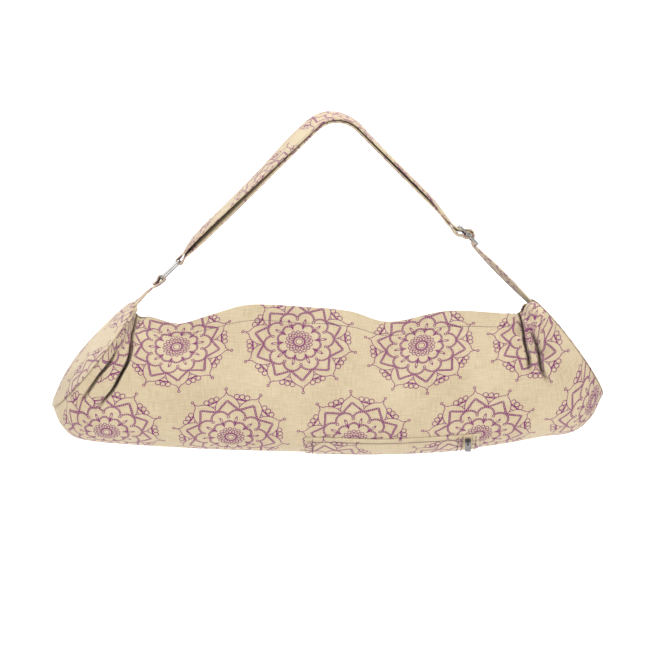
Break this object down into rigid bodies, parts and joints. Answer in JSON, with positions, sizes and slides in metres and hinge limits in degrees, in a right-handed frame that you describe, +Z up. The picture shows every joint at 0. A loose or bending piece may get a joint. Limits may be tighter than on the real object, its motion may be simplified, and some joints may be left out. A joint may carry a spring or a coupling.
{
  "type": "yoga mat bag",
  "caption": "Open-topped canvas tube for a rolled yoga mat, with round ends, gathered corners, a zipped patch pocket and an adjustable shoulder strap with ring and slider.",
  "frame": {"origin": "the place on the strap's underside where the bag hangs from a peg or a shoulder", "axes": "+Z up, +X along the bag towards the end with the strap's slider, -Y towards the front, where the pocket's top edge shows"},
  "size_m": [0.69, 0.15, 0.4302],
  "materials": {
    "canvas": "matte natural canvas with a printed purple ornament",
    "zip_tape": "matte woven tape",
    "dark_metal": "black",
    "metal": "bright"
  },
  "bodies": {
    "root": {"body_panel": "canvas", "end_panel_left": "canvas", "end_panel_right": "canvas", "pocket_panel": "canvas", "pocket_facing": "canvas", "pocket_zip": "zip_tape", "zip_slider": "dark_metal", "zip_pull": "metal", "strap": "canvas", "strap_tab": "canvas", "ring": "metal", "slider_buckle": "metal"}
  },
  "joints": []
}
